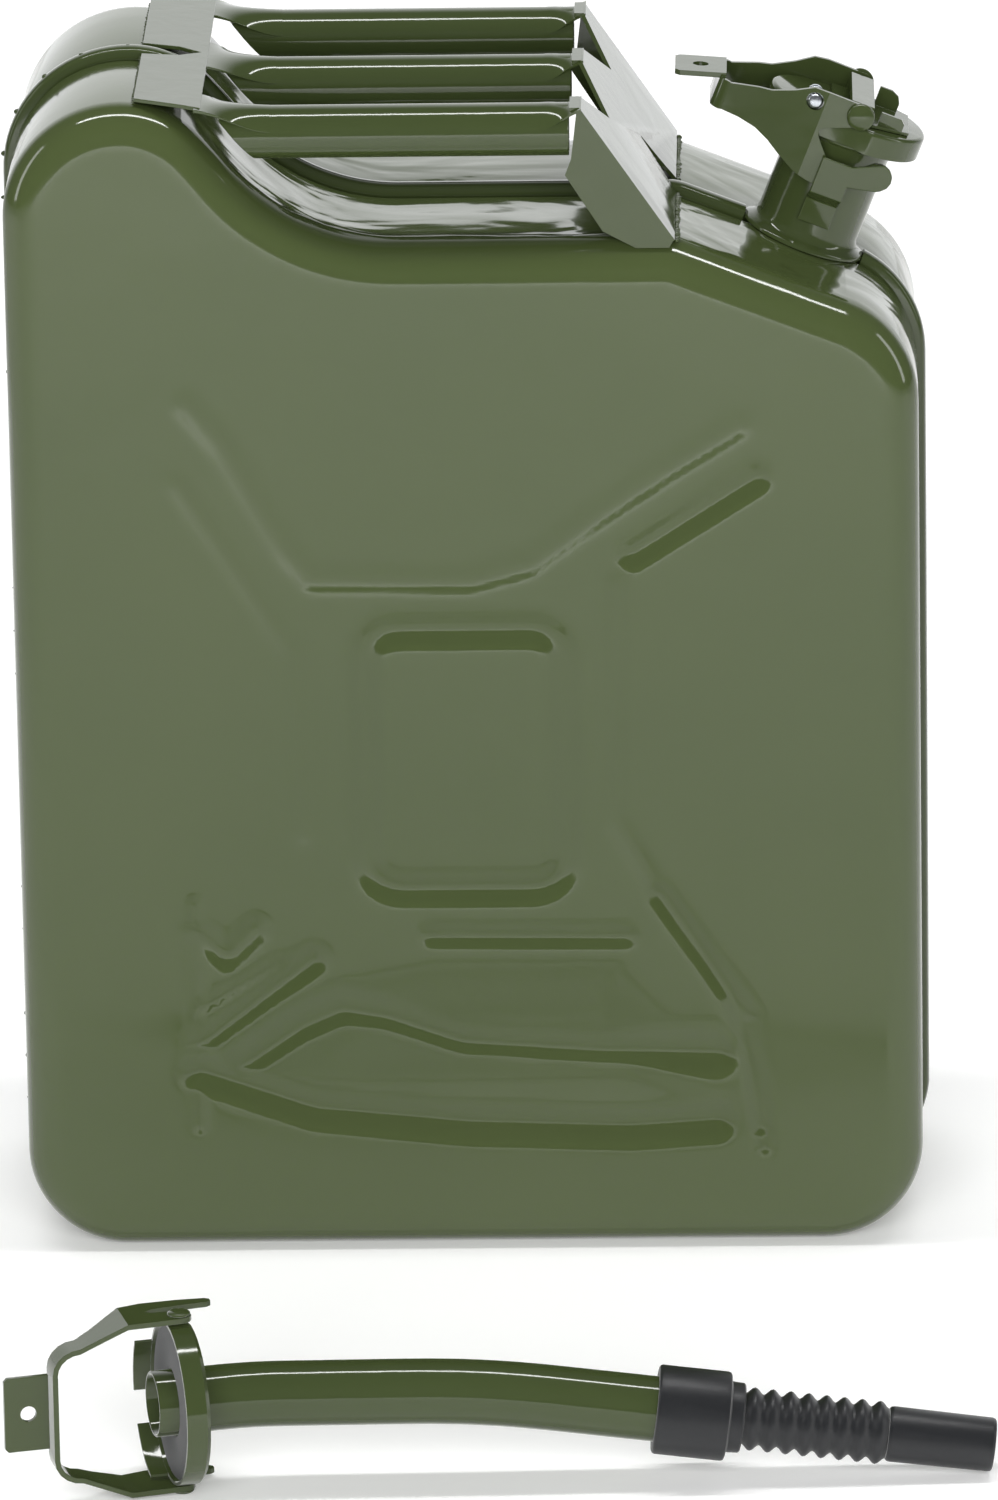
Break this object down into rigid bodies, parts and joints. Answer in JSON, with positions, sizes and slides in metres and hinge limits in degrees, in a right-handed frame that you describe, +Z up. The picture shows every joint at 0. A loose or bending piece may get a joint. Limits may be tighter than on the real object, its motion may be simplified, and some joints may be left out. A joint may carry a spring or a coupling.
{
  "type": "20 litre jerry can with pouring spout",
  "caption": "Pressed-steel fuel can with parallel tube handles, a cam-lever hinged lid with rubber seal, and its loose clip-on pouring spout with a flexible nozzle.",
  "frame": {"origin": "middle of the can's base, on the floor, on the seam flange's flat foot", "axes": "+Z up, +X along the can's length towards the filler neck, -Y out of the front face, where the spout lies"},
  "size_m": [0.3704, 0.4493, 0.4565],
  "materials": {
    "enamel": "gloss",
    "rubber": "matte",
    "plastic": "satin",
    "zinc": "satin"
  },
  "bodies": {
    "can": {"front_shell": "enamel", "rear_shell": "enamel", "seam_flange": "enamel", "handle_bar_front": "enamel", "handle_bar_middle": "enamel", "handle_bar_rear": "enamel", "handle_bracket_left": "enamel", "handle_bracket_right": "enamel", "filler_neck": "enamel", "breather_tube": "zinc", "catch_bracket_front": "enamel", "catch_bracket_rear": "enamel", "lever_pin_front": "enamel", "lever_pin_rear": "enamel"},
    "lever": {"closure_lever": "enamel", "lock_spring": "zinc"},
    "lock": {"lock_pin": "zinc"},
    "lid": {"lid_cap": "enamel", "lid_gasket": "rubber", "lid_bridge": "enamel", "lid_rivet_front": "enamel", "lid_rivet_rear": "enamel"},
    "spout": {"spout_cup": "enamel", "spout_gasket": "rubber", "spout_nipple": "enamel", "spout_tube": "enamel", "spout_vent_tube": "zinc", "spout_rivet_lower": "enamel", "spout_rivet_upper": "enamel", "nozzle_collar": "plastic", "nozzle_bellows": "plastic"},
    "spout_clip": {"spout_lever": "enamel"},
    "nozzle": {"nozzle_tip": "plastic"}
  },
  "joints": [
    {"name": "lever_hinge", "type": "hinge", "parent": "can", "child": "lever", "pos_m": [0.15675, 0, 0.40861], "axis": [0, 1, 0], "range_deg": [0, 110]},
    {"name": "lid_hinge", "type": "hinge", "parent": "lever", "child": "lid", "pos_m": [0.15085, 0, 0.43211], "axis": [0, 1, 0], "range_deg": [-40, 0]},
    {"name": "lock_pin_slide", "type": "slide", "parent": "lever", "child": "lock", "axis": [0, 1, 0], "range_m": [0, 0.003], "stiffness_N_per_m": 40},
    {"name": "spout_lift", "type": "slide", "parent": "can", "child": "spout", "axis": [0, 0, 1], "range_m": [0, 0.15]},
    {"name": "spout_lever_hinge", "type": "hinge", "parent": "spout", "child": "spout_clip", "pos_m": [-0.10194, -0.3362, 0.0352], "axis": [0, 0, 1], "range_deg": [-30, 60]},
    {"name": "nozzle_flex", "type": "hinge", "parent": "spout", "child": "nozzle", "pos_m": [0.12888, -0.32433, 0.01912], "axis": [0, 0, 1], "range_deg": [-25, 25], "stiffness_Nm_per_rad": 0.5, "deforming": ["nozzle_bellows"]}
  ],
  "couplings": [
    {"joint": "lid_hinge", "follows": "lever_hinge", "ratio": -0.35}
  ]
}
